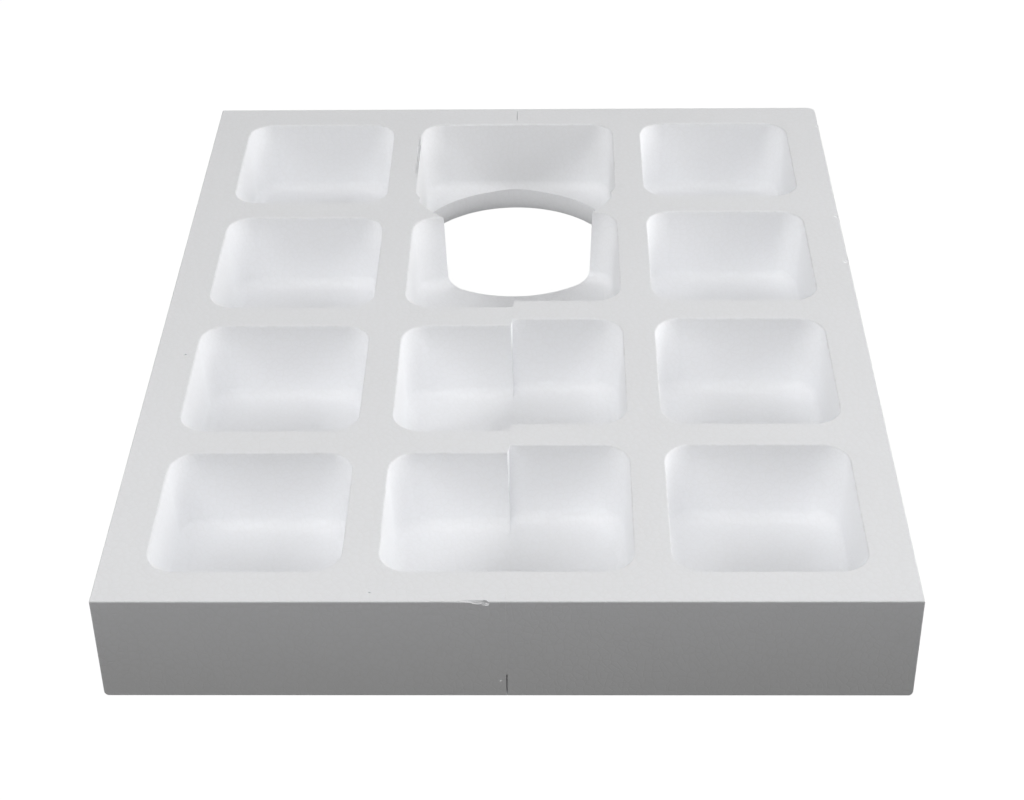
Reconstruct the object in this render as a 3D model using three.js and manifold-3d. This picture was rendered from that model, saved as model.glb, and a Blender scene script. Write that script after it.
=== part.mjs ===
// A white foam tray in two halves. Both halves come from one mould: the right half is the left one turned
// half round about the vertical, so their ribs step past each other where they meet. Drafted pockets are
// open at the top, and one round hole is bored through both halves, so the tray closes round a neck.
// Two loose pegs inside the seam keep the halves in line. The rear right corner is worn round.
// Millimetres, +Z up. The origin is the centre of the underside and the seam lies in the plane X = 0.

import * as THREE from 'three';
import { mergeVertices } from 'three/addons/utils/BufferGeometryUtils.js';
import Module from 'manifold-3d';

const wasm = await Module();
wasm.setup();

// ---- Driving dimensions ----

const LENGTH = 380;
const HEIGHT = 46;
const FLOOR = 10;
const OUTER_CORNER_RADIUS = 1;
const WORN_CORNER_RADIUS = 4.5;
const SEAM_GAP = 0.3;

// Across one half, from its outer side to the seam.
const SIDE_WALL = 17;
const OUTER_POCKET_WIDTH = 72;
const LONG_RIB = 14;
const INNER_POCKET_WIDTH = 47;
const HALF_WIDTH = SIDE_WALL + OUTER_POCKET_WIDTH + LONG_RIB + INNER_POCKET_WIDTH;

// Along one half, from the end with the short pocket. Each cross rib follows its pocket.
const END_WALL = 17;
const POCKET_LENGTHS = [72, 76, 76.5, 77];
const CROSS_RIBS = [15, 15, 14.5];

const MOUTH_RADIUS = 11;
const FLOOR_CORNER_RADIUS = 9;
const DRAFT = THREE.MathUtils.degToRad(2);
const FLOOR_FILLET = 5;

// The hole runs through the floor and one cross rib. Its flats stop it short of the long ribs, and it was
// bored after the halves were put together, a little off the seam.
const HOLE_RADIUS = 50;
const HOLE_FLATS = 90;
const HOLE_X = -1;
const HOLE_Y = 119.7;

const PEG_RADIUS = 4;
const PEG_LENGTH = 30;
const PEG_CHAMFER = 1;
const PEG_CLEARANCE = 0.3;
const PEG_Y = LENGTH / 2 - END_WALL / 2;
const PEG_Z = HEIGHT / 2;

const CORNER_STEPS = 5;
const FILLET_STEPS = 4;
const HOLE_SIDES = 72;
const PEG_SIDES = 24;
const OVERCUT = 2;

// ---- Solids ----

function solidOf(geometry) {
  const bare = geometry.clone();
  bare.deleteAttribute('normal');
  bare.deleteAttribute('uv');
  const merged = mergeVertices(bare, 1e-4);
  return new wasm.Manifold(new wasm.Mesh({
    numProp: 3,
    vertProperties: merged.attributes.position.array,
    triVerts: new Uint32Array(merged.index.array),
  }));
}

function geometryOf(solid) {
  const mesh = solid.getMesh();
  const geometry = new THREE.BufferGeometry();
  geometry.setAttribute('position', new THREE.BufferAttribute(mesh.vertProperties, 3));
  geometry.setIndex(new THREE.BufferAttribute(mesh.triVerts, 1));
  return geometry.toNonIndexed();
}

// A closed solid through level rings of equal length, from the lowest to the highest.
function stackRings(rings) {
  const count = rings[0].length;
  const corners = [];
  for (let level = 0; level + 1 < rings.length; level++) {
    for (let i = 0; i < count; i++) {
      const next = (i + 1) % count;
      const [lower, upper] = [rings[level], rings[level + 1]];
      corners.push(lower[i], lower[next], upper[next], lower[i], upper[next], upper[i]);
    }
  }
  const [bottom, top] = [rings[0], rings.at(-1)];
  for (let i = 1; i + 1 < count; i++) {
    corners.push(bottom[0], bottom[i + 1], bottom[i], top[0], top[i], top[i + 1]);
  }
  const geometry = new THREE.BufferGeometry().setFromPoints(corners);
  geometry.computeVertexNormals();
  return geometry;
}

// A level rounded rectangle, anticlockwise from above.
function roundedRectangle({ x0, x1, y0, y1 }, inset, radius, z) {
  const reachX = (x1 - x0) / 2 - inset - radius;
  const reachY = (y1 - y0) / 2 - inset - radius;
  const points = [];
  for (const [turn, signX, signY] of [[0, 1, 1], [1, -1, 1], [2, -1, -1], [3, 1, -1]]) {
    for (let step = 0; step <= CORNER_STEPS; step++) {
      const angle = (turn + step / CORNER_STEPS) * Math.PI / 2;
      points.push(new THREE.Vector3(
        (x0 + x1) / 2 + signX * reachX + radius * Math.cos(angle),
        (y0 + y1) / 2 + signY * reachY + radius * Math.sin(angle),
        z,
      ));
    }
  }
  return points;
}

// The room inside a pocket: walls that lean out by the draft, and a fillet round the floor.
function pocketRoom(mouth) {
  const depth = HEIGHT - FLOOR;
  const wallDepth = depth - FLOOR_FILLET * (1 - Math.sin(DRAFT));
  const wallInset = wallDepth * Math.tan(DRAFT);
  const floorInset = wallInset + FLOOR_FILLET * Math.cos(DRAFT);
  const { mapLinear } = THREE.MathUtils;
  const radiusAt = (inset) => mapLinear(inset, 0, floorInset, MOUTH_RADIUS, FLOOR_CORNER_RADIUS);
  const rings = [];
  for (let step = FILLET_STEPS; step >= 0; step--) {
    const angle = THREE.MathUtils.lerp(DRAFT, Math.PI / 2, step / FILLET_STEPS);
    const inset = floorInset - FLOOR_FILLET * Math.cos(angle);
    const z = FLOOR + FLOOR_FILLET * (1 - Math.sin(angle));
    rings.push(roundedRectangle(mouth, inset, radiusAt(inset), z));
  }
  const flare = -OVERCUT * Math.tan(DRAFT);
  rings.push(roundedRectangle(mouth, flare, radiusAt(flare), HEIGHT + OVERCUT));
  return solidOf(stackRings(rings));
}

// The pocket mouths of one half, whose short-pocket end is at -Y. The inner pockets run on past the seam,
// into the other half.
function pocketMouths() {
  const mouths = [];
  let y = -LENGTH / 2 + END_WALL;
  POCKET_LENGTHS.forEach((length, row) => {
    const outer = -HALF_WIDTH + SIDE_WALL;
    mouths.push({ x0: outer, x1: outer + OUTER_POCKET_WIDTH, y0: y, y1: y + length });
    mouths.push({ x0: -INNER_POCKET_WIDTH, x1: INNER_POCKET_WIDTH, y0: y, y1: y + length });
    y += length + (CROSS_RIBS[row] ?? END_WALL);
  });
  return mouths;
}

// The block of one half: square corners at the seam, and outside a radius on the corner at each end.
function halfBlock(radius, shortEndRadius) {
  const outline = new THREE.Shape();
  const [outer, seam, end] = [-HALF_WIDTH, -SEAM_GAP / 2, LENGTH / 2];
  outline.moveTo(seam, -end);
  outline.lineTo(seam, end);
  outline.absarc(outer + radius, end - radius, radius, Math.PI / 2, Math.PI, false);
  const [centreX, centreY] = [outer + shortEndRadius, -end + shortEndRadius];
  outline.absarc(centreX, centreY, shortEndRadius, Math.PI, 1.5 * Math.PI, false);
  const solidShape = { depth: HEIGHT, bevelEnabled: false, curveSegments: CORNER_STEPS };
  return solidOf(new THREE.ExtrudeGeometry(outline, solidShape));
}

// The round hole, with a flat on each side that keeps the same distance from the seam.
function neckHole(x, y) {
  const height = HEIGHT + 2 * OVERCUT;
  const round = new THREE.CylinderGeometry(HOLE_RADIUS, HOLE_RADIUS, height, HOLE_SIDES);
  round.rotateX(Math.PI / 2).translate(x, y, HEIGHT / 2);
  const between = new THREE.BoxGeometry(HOLE_FLATS, 3 * HOLE_RADIUS, 2 * height);
  between.translate(0, y, HEIGHT / 2);
  return solidOf(round).intersect(solidOf(between));
}

function pegSocket(y) {
  const radius = PEG_RADIUS + PEG_CLEARANCE;
  const socket = new THREE.CylinderGeometry(radius, radius, PEG_LENGTH + 2 * PEG_CLEARANCE, PEG_SIDES);
  return solidOf(socket.rotateZ(Math.PI / 2).translate(0, y, PEG_Z));
}

// One half as it leaves the mould, with the sockets in its end walls and the hole bored at holeX, holeY.
// The radius is that of its outer corner at the end with the short pocket.
function halfTray(holeX, holeY, shortEndRadius) {
  let half = halfBlock(OUTER_CORNER_RADIUS, shortEndRadius);
  const sockets = [-PEG_Y, PEG_Y].map(pegSocket);
  const cuts = [...pocketMouths().map(pocketRoom), neckHole(holeX, holeY), ...sockets];
  for (const cut of cuts) {
    half = half.subtract(cut);
  }
  return geometryOf(half);
}

// A loose peg with chamfered ends, lying along X across the seam.
function locatingPeg() {
  const half = PEG_LENGTH / 2;
  const profile = [
    new THREE.Vector2(0, -half),
    new THREE.Vector2(PEG_RADIUS - PEG_CHAMFER, -half),
    new THREE.Vector2(PEG_RADIUS, -half + PEG_CHAMFER),
    new THREE.Vector2(PEG_RADIUS, half - PEG_CHAMFER),
    new THREE.Vector2(PEG_RADIUS - PEG_CHAMFER, half),
    new THREE.Vector2(0, half),
  ];
  return new THREE.LatheGeometry(profile, PEG_SIDES).rotateZ(-Math.PI / 2);
}

// ---- Materials ----

const foam = new THREE.MeshStandardMaterial({ color: 0xe8eaec, roughness: 0.85, metalness: 0 });
const pegPlastic = new THREE.MeshStandardMaterial({ color: 0xd9dcde, roughness: 0.5, metalness: 0 });

// ---- Assembly ----

function named(name, geometry, material) {
  const mesh = new THREE.Mesh(geometry, material);
  mesh.name = name;
  return mesh;
}

const leftHalf = new THREE.Group();
leftHalf.add(named('left_half_tray', halfTray(HOLE_X, HOLE_Y, OUTER_CORNER_RADIUS), foam));
for (const [name, y] of [['front_locating_peg', -PEG_Y], ['rear_locating_peg', PEG_Y]]) {
  const peg = named(name, locatingPeg(), pegPlastic);
  peg.position.set(0, y, PEG_Z);
  leftHalf.add(peg);
}

const rightHalf = new THREE.Group();
rightHalf.rotation.z = Math.PI;
rightHalf.add(named('right_half_tray', halfTray(-HOLE_X, -HOLE_Y, WORN_CORNER_RADIUS), foam));

const tray = new THREE.Group();
tray.add(leftHalf, rightHalf);

export default tray;
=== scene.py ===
"""A white foam tray in two halves that close round a neck, in a plain white studio.

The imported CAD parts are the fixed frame. This script stands a finer mesh with its own material in for each
foam moulding and each locating peg, and then makes the floor, the lights and the camera. Metres, +Z up: the
seam lies in the plane X = 0, and the round hole is near the +Y end."""

import math

import bmesh
import bpy
from mathutils import Matrix, Vector, noise


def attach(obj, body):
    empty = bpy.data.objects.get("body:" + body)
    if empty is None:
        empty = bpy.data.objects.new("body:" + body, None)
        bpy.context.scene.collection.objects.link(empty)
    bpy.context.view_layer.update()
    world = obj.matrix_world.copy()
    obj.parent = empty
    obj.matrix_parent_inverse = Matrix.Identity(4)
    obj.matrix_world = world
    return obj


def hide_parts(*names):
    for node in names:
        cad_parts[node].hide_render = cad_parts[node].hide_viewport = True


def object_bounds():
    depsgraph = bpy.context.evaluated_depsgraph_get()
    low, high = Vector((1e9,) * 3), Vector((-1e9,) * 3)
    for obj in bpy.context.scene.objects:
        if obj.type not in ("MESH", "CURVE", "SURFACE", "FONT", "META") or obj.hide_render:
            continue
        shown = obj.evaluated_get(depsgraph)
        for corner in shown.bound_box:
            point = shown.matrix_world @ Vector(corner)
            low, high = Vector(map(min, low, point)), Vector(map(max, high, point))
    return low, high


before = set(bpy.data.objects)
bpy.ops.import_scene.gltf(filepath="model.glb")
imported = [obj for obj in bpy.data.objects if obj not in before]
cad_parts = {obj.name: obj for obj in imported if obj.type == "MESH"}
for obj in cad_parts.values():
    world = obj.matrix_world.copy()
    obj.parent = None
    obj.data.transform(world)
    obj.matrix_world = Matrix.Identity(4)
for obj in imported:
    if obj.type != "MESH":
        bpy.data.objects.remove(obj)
cad_low, cad_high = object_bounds()

# ---- Dimensions, as in the CAD ----

MM = 0.001
LENGTH = cad_high.y - cad_low.y
HALF_WIDTH = cad_high.x
HEIGHT = cad_high.z
FLOOR = 10 * MM
WORN_CORNER_RADIUS = 4.5 * MM

# Across one half, from its outer side to the seam.
SIDE_WALL = 17 * MM
OUTER_POCKET_WIDTH = 72 * MM
INNER_POCKET_WIDTH = 47 * MM

# Along one half, from the end with the short pocket. Each cross rib follows its pocket.
END_WALL = 17 * MM
POCKET_LENGTHS = [72 * MM, 76 * MM, 76.5 * MM, 77 * MM]
CROSS_RIBS = [15 * MM, 15 * MM, 14.5 * MM, END_WALL]

MOUTH_RADIUS = 11 * MM
FLOOR_CORNER_RADIUS = 9 * MM
DRAFT = math.radians(2)
FLOOR_FILLET = 5 * MM

HOLE_RADIUS = 50 * MM
HOLE_FLATS = 90 * MM
HOLE_X = -1 * MM
HOLE_Y = 119.7 * MM

PEG_RADIUS = 4 * MM
PEG_LENGTH = 30 * MM
PEG_CLEARANCE = 0.3 * MM
PEG_Y = LENGTH / 2 - END_WALL / 2
PEG_Z = HEIGHT / 2

# ---- Finer shapes that only the visible meshes have ----

OUTER_CORNER_RADIUS = 0.5 * MM
TOP_EDGE_RADIUS = 0.6 * MM
SIDE_FOOT_RADIUS = 2 * MM
END_FOOT_RADIUS = 0.5 * MM
SEAM_EDGE_RADIUS = 0.04 * MM
LIP_RADIUS = 0.7 * MM
HOLE_EDGE_RADIUS = 0.4 * MM
SEAM_FACE = 0.01 * MM
FOOT_SLIT_WIDTH = 0.45 * MM
FOOT_SLIT_LEVELS = (0.3 * MM, 10.5 * MM)
FOOT_SLIT_DEPTH = 9 * MM
RIB_STEP = 4.4 * MM
RIB_TAPER = 0.65 * MM
RIB_TAPER_FOOT = 14 * MM
SOCKET_CHAMFER = 0.5 * MM
PEG_END_RADIUS = 1 * MM
OVERCUT = 2 * MM

# How many cross ribs of a half are thinned at the seam, from the end with the short pocket.
TAPERED_RIBS = 2

CORNER_STEPS = 12
FILLET_STEPS = 8
EDGE_STEPS = 5
HOLE_SIDES = 192
ROUND_SIDES = 64
CREASE_ANGLE = math.radians(35)

# An edge counts as worn this near the top or the foot, and when its normal's upright share is in this range.
WEAR_REACH = 1.5 * MM
WORN_SLOPES = (0.1, 0.98)

# A stone is a ball with coarse and fine lumps. Their pitch is in waves per radius, and the ball is turned so
# that no ring of its points lies in the tray's top.
STONE_TURN = Matrix.Rotation(0.5, 4, (1, 2, 3))
STONE_LUMP = 0.35
STONE_COARSE_PITCH = 1.6
STONE_FINE_PITCH = 4
STONE_FINE_SHARE = 0.5
STONE_SEED_STEP = (7.3, 3.1, 5.7)


# ---- Mesh helpers ----

def new_object(name, mesh):
    made = bpy.data.objects.new(name, mesh)
    bpy.context.scene.collection.objects.link(made)
    return made


def stack_rings(name, rings):
    """A closed solid through rings of equal length. Each ring runs anticlockwise seen from the last one."""
    count = len(rings[0])
    points = [point for ring in rings for point in ring]
    faces = [tuple(reversed(range(count)))]
    for level in range(len(rings) - 1):
        start = level * count
        for i in range(count):
            following = (i + 1) % count
            faces.append((start + i, start + following, start + count + following, start + count + i))
    faces.append(tuple(range(len(points) - count, len(points))))
    mesh = bpy.data.meshes.new(name)
    mesh.from_pydata(points, [], faces)
    return new_object(name, mesh)


def rounded_rectangle(x0, x1, y0, y1, radii, z):
    """A level outline, anticlockwise from above, with its radii in that order from the +X +Y corner."""
    corners = [(x1, y1, 1, 1), (x0, y1, -1, 1), (x0, y0, -1, -1), (x1, y0, 1, -1)]
    points = []
    for turn, ((x, y, sign_x, sign_y), radius) in enumerate(zip(corners, radii)):
        for step in range(CORNER_STEPS + 1):
            angle = (turn + step / CORNER_STEPS) * math.pi / 2
            points.append((
                x - sign_x * radius + radius * math.cos(angle),
                y - sign_y * radius + radius * math.sin(angle),
                z,
            ))
    return points


def edge_inset(distance, radius):
    """How far a rounded edge stands back at a distance from the face that it ends in."""
    if distance >= radius:
        return 0
    return radius - math.sqrt(radius ** 2 - (radius - distance) ** 2)


def arc(start, end, steps):
    """Angles in radians from start to end, both included."""
    return [start + (end - start) * step / steps for step in range(steps + 1)]


# ---- The foam mouldings ----

def half_block(short_end_radius):
    """The outer block of a half, almost sharp at the seam and with a radius on each outer corner."""
    heights = set()
    for angle in arc(0, math.pi / 2, EDGE_STEPS):
        share = 1 - math.cos(angle)
        heights.update(radius * share for radius in (SIDE_FOOT_RADIUS, END_FOOT_RADIUS, SEAM_EDGE_RADIUS))
        heights.update(HEIGHT - radius * share for radius in (TOP_EDGE_RADIUS, SEAM_EDGE_RADIUS))
    rings = []
    for z in sorted(heights):
        top = edge_inset(HEIGHT - z, TOP_EDGE_RADIUS)
        side = top + edge_inset(z, SIDE_FOOT_RADIUS)
        end = top + edge_inset(z, END_FOOT_RADIUS)
        seam = edge_inset(min(z, HEIGHT - z), SEAM_EDGE_RADIUS)
        corners = [max(radius - top, SEAM_EDGE_RADIUS) for radius in (OUTER_CORNER_RADIUS, short_end_radius)]
        rings.append(rounded_rectangle(
            -HALF_WIDTH + side, -SEAM_FACE - seam, -LENGTH / 2 + end, LENGTH / 2 - end,
            [SEAM_EDGE_RADIUS, *corners, SEAM_EDGE_RADIUS], z,
        ))
    return stack_rings("left_half_foam", rings)


def wall_profile():
    """(inset from the mouth, height) up a pocket's wall: the fillet, the drafted wall and the lip."""
    wall_depth = HEIGHT - FLOOR - FLOOR_FILLET * (1 - math.sin(DRAFT))
    fillet_centre = wall_depth * math.tan(DRAFT) + FLOOR_FILLET * math.cos(DRAFT)
    profile = []
    for angle in arc(math.pi / 2, DRAFT, FILLET_STEPS):
        profile.append((
            fillet_centre - FLOOR_FILLET * math.cos(angle),
            FLOOR + FLOOR_FILLET * (1 - math.sin(angle)),
        ))
    lip_start = LIP_RADIUS * (1 - math.sin(DRAFT)) * math.tan(DRAFT)
    lip_centre = lip_start - LIP_RADIUS * math.cos(DRAFT)
    for angle in arc(DRAFT, math.pi / 2, EDGE_STEPS):
        profile.append((
            lip_centre + LIP_RADIUS * math.cos(angle),
            HEIGHT - LIP_RADIUS * (1 - math.sin(angle)),
        ))
    profile.append((lip_centre, HEIGHT + OVERCUT))
    return profile


def pocket_cutter(x0, x1, y0, y1):
    profile = wall_profile()
    floor_inset = profile[0][0]
    rings = []
    for inset, z in profile:
        corner = MOUTH_RADIUS + (FLOOR_CORNER_RADIUS - MOUTH_RADIUS) * max(inset, 0) / floor_inset
        corner -= min(inset, 0)
        rings.append(rounded_rectangle(x0 + inset, x1 - inset, y0 + inset, y1 - inset, [corner] * 4, z))
    return stack_rings("pocket", rings)


def rib_taper_cutter(y1):
    """Thins a cross rib's end at the seam, most at the top of its edge nearest the short pocket."""
    rings = []
    for z in (RIB_TAPER_FOOT, HEIGHT + OVERCUT):
        taper = RIB_TAPER * (z - RIB_TAPER_FOOT) / (HEIGHT - RIB_TAPER_FOOT) + SEAM_FACE / 2
        wall = y1 - (HEIGHT - z) * math.tan(DRAFT)
        front = -taper * (1 + OVERCUT / RIB_STEP)
        rings.append([
            (front, wall - OVERCUT, z),
            (OVERCUT, wall - OVERCUT, z),
            (OVERCUT, wall + RIB_STEP, z),
            (0, wall + RIB_STEP, z),
        ])
    return stack_rings("rib_taper", rings)


def hole_cutter(x, y):
    """The round hole with a flat on each side, and slightly rounded edges at the top and the underside."""
    side = HOLE_FLATS / 2
    right = math.acos((side - x) / HOLE_RADIUS)
    left = math.acos((-side - x) / HOLE_RADIUS)
    steps = HOLE_SIDES // 2
    outline = [(HOLE_RADIUS * math.cos(a), HOLE_RADIUS * math.sin(a)) for a in arc(right, left, steps)]
    outline += [(u, -v) for u, v in reversed(outline)]
    levels = [(HOLE_EDGE_RADIUS, -OVERCUT)]
    for angle in arc(0, math.pi / 2, EDGE_STEPS):
        levels.append((HOLE_EDGE_RADIUS * (1 - math.sin(angle)), HOLE_EDGE_RADIUS * (1 - math.cos(angle))))
    levels += [(grow, HEIGHT - z) for grow, z in reversed(levels)]
    rings = []
    for grow, z in levels:
        scale = 1 + grow / HOLE_RADIUS
        rings.append([(x + u * scale, y + v * scale, z) for u, v in outline])
    return stack_rings("hole", rings)


def lathe_along_x(name, profile, y, z):
    """A closed solid turned round a line along X, from (x, radius) pairs of rising x."""
    turns = [2 * math.pi * i / ROUND_SIDES for i in range(ROUND_SIDES)]
    rings = []
    for x, radius in profile:
        rings.append([(x, y + radius * math.cos(a), z + radius * math.sin(a)) for a in turns])
    return stack_rings(name, rings)


def socket_cutter(y):
    radius = PEG_RADIUS + PEG_CLEARANCE
    depth = PEG_LENGTH / 2 + PEG_CLEARANCE
    profile = [(-depth, radius), (-SOCKET_CHAMFER, radius), (SOCKET_CHAMFER, radius + 2 * SOCKET_CHAMFER)]
    return lathe_along_x("socket", profile, y, PEG_Z)


def foot_slit_cutter(y):
    """A shallow relief in the seam face at the foot of an end, which leaves a slit when the halves meet."""
    slit = bpy.data.meshes.new("slit")
    shape = bmesh.new()
    bmesh.ops.create_cube(shape, size=2)
    shape.to_mesh(slit)
    shape.free()
    made = new_object("slit", slit)
    low, high = FOOT_SLIT_LEVELS
    made.location = (0, y, (low + high) / 2)
    made.scale = (FOOT_SLIT_WIDTH / 2, FOOT_SLIT_DEPTH, (high - low) / 2)
    return made


def stone_cutter(centre, half_size, seed):
    """A lumpy ellipsoid, sized in millimetres, that breaks a chip, nick or pit out of the foam."""
    mesh = bpy.data.meshes.new("stone")
    shape = bmesh.new()
    bmesh.ops.create_icosphere(shape, subdivisions=4, radius=1, matrix=STONE_TURN)
    offset = Vector([seed * step for step in STONE_SEED_STEP])
    for vertex in shape.verts:
        coarse = noise.noise(vertex.co * STONE_COARSE_PITCH + offset)
        fine = noise.noise(vertex.co * STONE_FINE_PITCH + offset)
        vertex.co *= 1 + STONE_LUMP * (coarse + STONE_FINE_SHARE * fine)
        vertex.co = Vector(a * b for a, b in zip(vertex.co, half_size)) * MM
    shape.to_mesh(mesh)
    shape.free()
    made = new_object("stone", mesh)
    made.location = Vector(centre) * MM
    return made


def pocket_rows():
    """(front, back) of each row of the left half, from the end with the short pocket."""
    rows = []
    y = -LENGTH / 2 + END_WALL
    for length, rib in zip(POCKET_LENGTHS, CROSS_RIBS):
        rows.append((y, y + length))
        y += length + rib
    return rows


def cut_out(block, cutters):
    """Takes the cutters' shapes out of the block, and then removes the cutters."""
    for cutter in cutters:
        cut = block.modifiers.new("cut", "BOOLEAN")
        cut.solver = "MANIFOLD"
        cut.operation = "DIFFERENCE"
        cut.object = cutter
    graph = bpy.context.evaluated_depsgraph_get()
    whole = block.data
    block.data = bpy.data.meshes.new_from_object(block.evaluated_get(graph))
    block.modifiers.clear()
    bpy.data.meshes.remove(whole)
    for cutter in cutters:
        bpy.data.meshes.remove(cutter.data)


def shade(piece):
    """Smooth shading with crisp edges."""
    piece.data.shade_smooth()
    piece.data.set_sharp_from_angle(angle=CREASE_ANGLE)
    weighted = piece.modifiers.new("normals", "WEIGHTED_NORMAL")
    weighted.keep_sharp = True
    weighted.mode = "FACE_AREA"


def mark_worn_edges(half):
    """Marks the narrow rounded edges at the top and the foot with an attribute that the wear reads."""
    steep, level = WORN_SLOPES
    worn = half.data.attributes.new("worn_edge", "FLOAT", "FACE")
    for face in half.data.polygons:
        near_end = min(face.center.z, HEIGHT - face.center.z) < WEAR_REACH
        worn.data[face.index].value = near_end and steep < abs(face.normal.z) < level


def foam_half(hole_x, hole_y, short_end_radius, damage):
    """One half in the left half's place. Damage lists chips, nicks and pits as (centre, half size)."""
    cutters = []
    rows = pocket_rows()
    for y0, y1 in rows:
        outer = -HALF_WIDTH + SIDE_WALL
        cutters.append(pocket_cutter(outer, outer + OUTER_POCKET_WIDTH, y0, y1))
        cutters.append(pocket_cutter(-INNER_POCKET_WIDTH, INNER_POCKET_WIDTH, y0, y1))
    for _, y1 in rows[:TAPERED_RIBS]:
        cutters.append(rib_taper_cutter(y1))
    cutters.append(hole_cutter(hole_x, hole_y))
    for side in (-1, 1):
        cutters.append(socket_cutter(side * PEG_Y))
        cutters.append(foot_slit_cutter(side * LENGTH / 2))
    for seed, (centre, half_size) in enumerate(damage):
        cutters.append(stone_cutter(centre, half_size, seed))
    block = half_block(short_end_radius)
    cut_out(block, cutters)
    return block


def peg(name, y):
    """A moulded peg with rounded ends, lying across the seam."""
    half = PEG_LENGTH / 2
    tip = []
    for angle in arc(0, math.pi / 2, EDGE_STEPS):
        x = -half + PEG_END_RADIUS * (1 - math.cos(angle))
        tip.append((x, PEG_RADIUS - PEG_END_RADIUS * (1 - math.sin(angle))))
    profile = tip + [(-x, radius) for x, radius in reversed(tip)]
    return lathe_along_x(name, profile, y, PEG_Z)


# ---- Materials ----

FOAM_WHITE = (0.964, 0.969, 0.983)
# The darker colour stands for real soiling, and also for the painted shade towards the foot.
FOAM_SOILED_AND_SHADED = (0.86, 0.86, 0.86)
PEG_GREY = (0.62, 0.63, 0.64)
PEG_SCUFFED = (0.70, 0.70, 0.70)

# The pitch of each texture, and the depth of each bump.
FOAM_BEAD = 3 * MM
FOAM_GRAIN = 0.5 * MM
FOAM_STAIN = 60 * MM
FOAM_WEAR_SPOT = 4 * MM
FOAM_JOINT_DEPTH = 0.035 * MM
FOAM_GRAIN_DEPTH = 0.02 * MM
PEG_GRAIN = 0.3 * MM
PEG_FLOW = 9 * MM
PEG_SCRATCH = 0.4 * MM
PEG_RELIEF = 0.01 * MM
PEG_SCUFF_REACH = 2 * MM

# How far each cause of soiling takes the foam's colour to the darker one, where it is strongest.
JOINT_SOIL = 0.18
STAIN_SOIL = 0.12
GRAIN_SOIL = 0.06
WEAR_SOIL = 0.5

# An outer face starts at this share of the tray's half width or half length.
OUTER_FACE = (0.996, 0.999)


def principled(name, colour, roughness):
    material = bpy.data.materials.new(name)
    material.use_nodes = True
    shader = material.node_tree.nodes["Principled BSDF"]
    shader.inputs["Base Color"].default_value = (*colour, 1)
    shader.inputs["Roughness"].default_value = roughness
    return material, material.node_tree, shader


def noise_texture(tree, place, size, detail=2):
    """Noise with lumps of about the given size in metres."""
    node = tree.nodes.new("ShaderNodeTexNoise")
    node.inputs["Scale"].default_value = 1 / size
    node.inputs["Detail"].default_value = detail
    tree.links.new(place, node.inputs["Vector"])
    return node.outputs[0]


def remap(tree, value, source, target):
    """A value taken from the source range to the target range, and held inside it."""
    node = tree.nodes.new("ShaderNodeMapRange")
    for socket, number in zip(node.inputs[1:5], (*source, *target)):
        socket.default_value = number
    tree.links.new(value, node.inputs["Value"])
    return node.outputs["Result"]


def combine(tree, operation, first, second):
    """A maths node on two values, each a socket or a number."""
    node = tree.nodes.new("ShaderNodeMath")
    node.operation = operation
    for socket, value in zip(node.inputs, (first, second)):
        if isinstance(value, bpy.types.NodeSocket):
            tree.links.new(value, socket)
        else:
            socket.default_value = value
    return node.outputs["Value"]


def tint(tree, amount, first, second):
    """A colour between the first and the second, as far along as the amount."""
    node = tree.nodes.new("ShaderNodeMixRGB")
    node.inputs["Color1"].default_value = (*first, 1)
    node.inputs["Color2"].default_value = (*second, 1)
    tree.links.new(amount, node.inputs["Fac"])
    return node.outputs["Color"]


def bump(tree, height, distance, below=None):
    node = tree.nodes.new("ShaderNodeBump")
    node.inputs["Distance"].default_value = distance
    tree.links.new(height, node.inputs["Height"])
    if below is not None:
        tree.links.new(below, node.inputs["Normal"])
    return node.outputs["Normal"]


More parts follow.
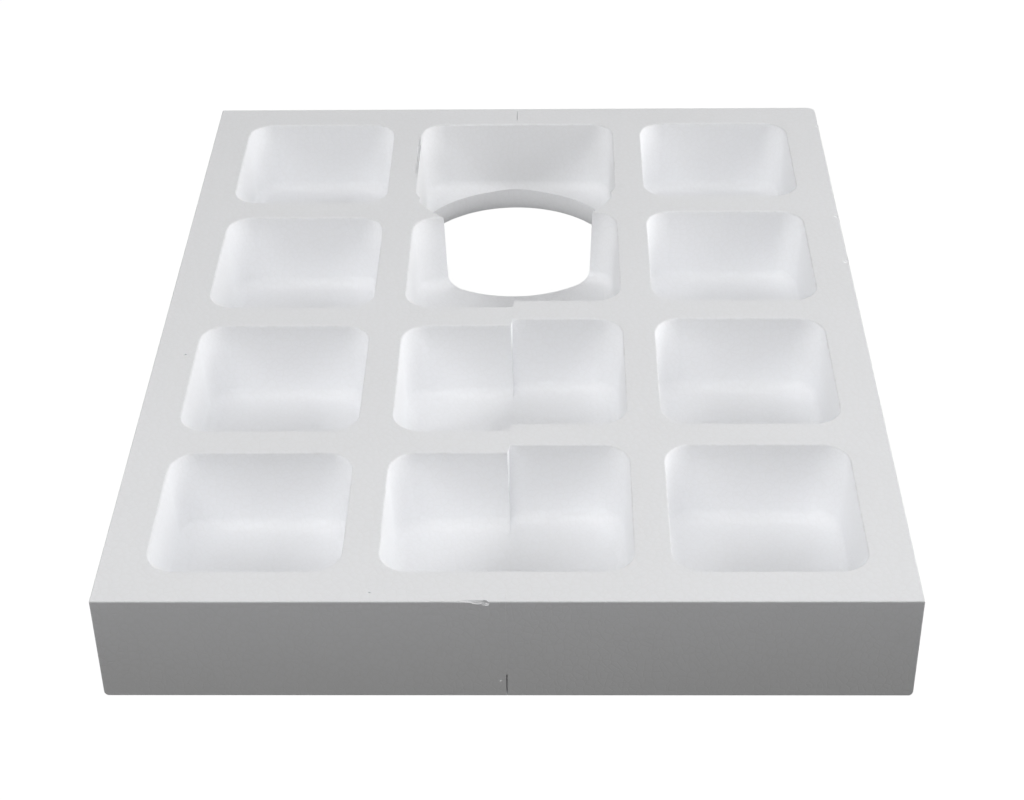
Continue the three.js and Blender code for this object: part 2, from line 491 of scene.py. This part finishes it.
def foam_material():
    """Moulded bead foam: beads pressed flat into one skin, with fine grain, soft stains, worn edges and
    painted shade towards the foot of the outer faces.
    """
    material, tree, shader = principled("tray_foam", FOAM_WHITE, 0.9)
    place = tree.nodes.new("ShaderNodeTexCoord").outputs["Object"]

    beads = tree.nodes.new("ShaderNodeTexVoronoi")
    beads.feature = "DISTANCE_TO_EDGE"
    beads.inputs["Scale"].default_value = 1 / FOAM_BEAD
    tree.links.new(place, beads.inputs["Vector"])
    joint = remap(tree, beads.outputs["Distance"], (0, 0.12), (1, 0))
    grain = noise_texture(tree, place, FOAM_GRAIN, detail=4)
    stain = noise_texture(tree, place, FOAM_STAIN, detail=3)
    spots = noise_texture(tree, place, FOAM_WEAR_SPOT)

    edge = tree.nodes.new("ShaderNodeAttribute")
    edge.attribute_name = "worn_edge"
    wear = combine(tree, "MULTIPLY", edge.outputs["Fac"], remap(tree, spots, (0.45, 0.7), (0, 1)))

    # Painted shade: the outer faces are a little greyer towards the foot.
    axes = tree.nodes.new("ShaderNodeSeparateXYZ")
    tree.links.new(place, axes.inputs["Vector"])
    out_x = combine(tree, "DIVIDE", combine(tree, "ABSOLUTE", axes.outputs["X"], 0), HALF_WIDTH)
    out_y = combine(tree, "DIVIDE", combine(tree, "ABSOLUTE", axes.outputs["Y"], 0), LENGTH / 2)
    outside = remap(tree, combine(tree, "MAXIMUM", out_x, out_y), OUTER_FACE, (0, 1))
    low = remap(tree, axes.outputs["Z"], (0, HEIGHT), (1, 0))
    painted_foot_shade = combine(tree, "MULTIPLY", outside, low)

    shares = (
        combine(tree, "MULTIPLY", joint, JOINT_SOIL),
        combine(tree, "MULTIPLY", remap(tree, stain, (0.4, 0.7), (0, 1)), STAIN_SOIL),
        combine(tree, "MULTIPLY", remap(tree, grain, (0.4, 0.7), (0, 1)), GRAIN_SOIL),
        combine(tree, "MULTIPLY", wear, WEAR_SOIL),
        painted_foot_shade,
    )
    # The sum takes in the real soiling and the painted shade towards the foot.
    soil_and_shade = shares[0]
    for share in shares[1:]:
        soil_and_shade = combine(tree, "ADD", soil_and_shade, share)
    soil_and_shade.node.use_clamp = True
    tree.links.new(tint(tree, soil_and_shade, FOAM_WHITE, FOAM_SOILED_AND_SHADED), shader.inputs["Base Color"])
    tree.links.new(remap(tree, grain, (0.3, 0.7), (0.82, 0.96)), shader.inputs["Roughness"])

    skin = bump(tree, remap(tree, joint, (0, 1), (1, 0)), FOAM_JOINT_DEPTH)
    shader.inputs["Specular IOR Level"].default_value = 0.35
    tree.links.new(bump(tree, grain, FOAM_GRAIN_DEPTH, skin), shader.inputs["Normal"])
    return material


def peg_material():
    """Pale grey moulded plastic with a fine texture, faint flow marks and polished, scuffed ends."""
    material, tree, shader = principled("tray_peg", PEG_GREY, 0.5)
    place = tree.nodes.new("ShaderNodeTexCoord").outputs["Object"]
    grain = noise_texture(tree, place, PEG_GRAIN, detail=3)
    flow = noise_texture(tree, place, PEG_FLOW, detail=4)
    stretch = tree.nodes.new("ShaderNodeMapping")
    stretch.inputs["Scale"].default_value = (0.1, 1, 1)
    tree.links.new(place, stretch.inputs["Vector"])
    streaks = noise_texture(tree, stretch.outputs["Vector"], PEG_SCRATCH)
    scratches = remap(tree, streaks, (0.62, 0.7), (0, 1))
    flow_marks = remap(tree, flow, (0.35, 0.7), (0, 0.5))
    marks = combine(tree, "ADD", flow_marks, combine(tree, "MULTIPLY", scratches, 0.5))
    axes = tree.nodes.new("ShaderNodeSeparateXYZ")
    tree.links.new(place, axes.inputs["Vector"])
    along = combine(tree, "ABSOLUTE", axes.outputs["X"], 0)
    ends = remap(tree, along, (PEG_LENGTH / 2 - PEG_SCUFF_REACH, PEG_LENGTH / 2), (0, 0.5))
    marks = combine(tree, "ADD", marks, ends)
    marks.node.use_clamp = True
    tree.links.new(tint(tree, marks, PEG_GREY, PEG_SCUFFED), shader.inputs["Base Color"])
    unmarked = remap(tree, grain, (0.3, 0.7), (0.4, 0.52))
    roughness = combine(tree, "ADD", unmarked, combine(tree, "MULTIPLY", scratches, 0.15))
    tree.links.new(roughness, shader.inputs["Roughness"])
    dents = bump(tree, grain, PEG_RELIEF)
    grooves = remap(tree, scratches, (0, 1), (1, 0))
    tree.links.new(bump(tree, grooves, PEG_RELIEF, dents), shader.inputs["Normal"])
    return material


# ---- Studio ----

CAMERA_PLACE = Vector((16.3, -756.5, 536.4)) * MM
CAMERA_YAW = 0.0227
CAMERA_PITCH = 0.6169
CAMERA_ROLL = 0.0153
LENS = 73.22
SENSOR_WIDTH = 36
NEAR_CLIP = 0.01

SOFTBOX_SIZE = 0.9
SOFTBOX_DISTANCE = 1.6
SOFTBOX_TARGET = Vector((0, 0, 0.03))
FLOOR_REACH = 20
FLOOR_DROP = 0.02 * MM
FLOOR_DIFFUSE = 0.2
FLOOR_GLOW = 0.9
HOLE_GLOW_POWER = 0.007
HOLE_GLOW_HEIGHT = 1 * MM
DIFFUSE_BOUNCES = 12


def make_camera():
    """Level turns first: yaw to the left, then pitch down, then roll about the line of sight."""
    data = bpy.data.cameras.new("camera")
    data.lens = LENS
    data.sensor_width = SENSOR_WIDTH
    data.clip_start = NEAR_CLIP
    camera = new_object("camera", data)
    camera.rotation_mode = "QUATERNION"
    yaw = Matrix.Rotation(CAMERA_YAW, 3, "Z")
    pitch = Matrix.Rotation(math.pi / 2 - CAMERA_PITCH, 3, "X")
    roll = Matrix.Rotation(-CAMERA_ROLL, 3, "Z")
    camera.rotation_quaternion = (yaw @ pitch @ roll).to_quaternion()
    camera.location = CAMERA_PLACE
    bpy.context.scene.camera = camera


def softbox(name, azimuth, elevation, power, size=SOFTBOX_SIZE):
    """A soft light aimed at the tray. Azimuth 0 is at +X and 90 is behind, at +Y. In degrees and watts."""
    data = bpy.data.lights.new(name, "AREA")
    data.shape = "SQUARE"
    data.size = size
    data.energy = power
    light = new_object(name, data)
    turn, rise = math.radians(azimuth), math.radians(elevation)
    away = Vector((math.cos(turn) * math.cos(rise), math.sin(turn) * math.cos(rise), math.sin(rise)))
    light.location = SOFTBOX_TARGET + away * SOFTBOX_DISTANCE
    light.rotation_mode = "QUATERNION"
    light.rotation_quaternion = away.to_track_quat("Z", "Y")
    light.visible_camera = False


def make_hole_glow():
    """The light that a white bench throws back up through the hole."""
    data = bpy.data.lights.new("hole_glow", "AREA")
    data.shape = "DISK"
    data.size = HOLE_FLATS
    data.energy = HOLE_GLOW_POWER
    light = new_object("hole_glow", data)
    light.location = (HOLE_X, HOLE_Y, HOLE_GLOW_HEIGHT)
    light.rotation_euler.x = math.pi
    light.visible_camera = False


def make_floor():
    """A sheet that glows almost to white, so that only a faint shadow shows. It gives the tray no light."""
    mesh = bpy.data.meshes.new("floor")
    shape = bmesh.new()
    bmesh.ops.create_grid(shape, x_segments=1, y_segments=1, size=FLOOR_REACH)
    shape.to_mesh(mesh)
    shape.free()
    floor = new_object("floor", mesh)
    floor.location.z = -FLOOR_DROP
    material, _, shader = principled("white_floor", (FLOOR_DIFFUSE,) * 3, 1)
    shader.inputs["Specular IOR Level"].default_value = 0
    shader.inputs["Emission Color"].default_value = (1, 1, 1, 1)
    shader.inputs["Emission Strength"].default_value = FLOOR_GLOW
    floor.data.materials.append(material)
    floor.visible_diffuse = False
    floor.visible_glossy = False


def make_world():
    """White for the camera only."""
    world = bpy.data.worlds.new("studio")
    world.use_nodes = True
    world.node_tree.nodes["Background"].inputs["Color"].default_value = (1, 1, 1, 1)
    bpy.context.scene.world = world
    world.cycles_visibility.diffuse = False
    world.cycles_visibility.glossy = False


# ---- Assembly ----

foam = foam_material()
peg_plastic = peg_material()

# Chips, nicks and pits as (centre, half size) in millimetres. The left half has the three bites of the front
# edge's nick, the pit beside the slit, two pinholes, the worn sliver beside the hole, and the groove in the
# seam on the rear rim. The right half has three chips, in its own frame before it is turned half round.
LEFT_DAMAGE = [
    ((-14, -190.2, 46), (5, 0.7, 0.5)),
    ((-10, -190.2, 45.9), (3.6, 0.9, 1.1)),
    ((-7.4, -190.1, 45.6), (1.5, 0.9, 1.7)),
    ((-2.4, -190, 7.8), (0.75, 0.9, 0.6)),
    ((-49.2, -185.1, 46), (0.5, 0.5, 2.5)),
    ((-137.5, -31.6, 46), (0.5, 0.5, 2.5)),
    ((-48, 139.5, 46.1), (0.9, 19, 1.2)),
    ((0, 182, 46), (0.35, 5, 1.5)),
]
RIGHT_DAMAGE = [
    ((-149.6, -81.2, 46), (2.2, 1, 1.1)),
    ((-149.4, -41.4, 46), (2.2, 1.3, 1.2)),
    ((-149.4, -169.7, 46), (1.2, 0.8, 1)),
]

left = foam_half(HOLE_X, HOLE_Y, OUTER_CORNER_RADIUS, LEFT_DAMAGE)
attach(left, "left_half")
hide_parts("left_half_tray")

right = foam_half(-HOLE_X, -HOLE_Y, WORN_CORNER_RADIUS, RIGHT_DAMAGE)
right.name = "right_half_foam"
right.data.transform(Matrix.Rotation(math.pi, 4, "Z"))
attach(right, "right_half")
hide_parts("right_half_tray")

for half in (left, right):
    half.data.materials.clear()
    half.data.materials.append(foam)
    mark_worn_edges(half)
    shade(half)

for name, y in (("front", -PEG_Y), ("rear", PEG_Y)):
    made = peg(f"{name}_peg", y)
    made.data.materials.append(peg_plastic)
    shade(made)
    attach(made, "left_half")
    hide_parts(f"{name}_locating_peg")

make_camera()
make_floor()
make_world()
softbox("right_low", 0, 20, 16)
softbox("left_low", 180, 20, 8.3)
softbox("front_high", 258, 50, 12.3, size=1.4)
softbox("right_high", 0, 50, 2.2)
softbox("left_high", 180, 50, 1.2)
softbox("back_low", 90, 20, 3.2)
make_hole_glow()
scene = bpy.context.scene
scene.view_settings.view_transform = "Standard"
scene.cycles.diffuse_bounces = DIFFUSE_BOUNCES
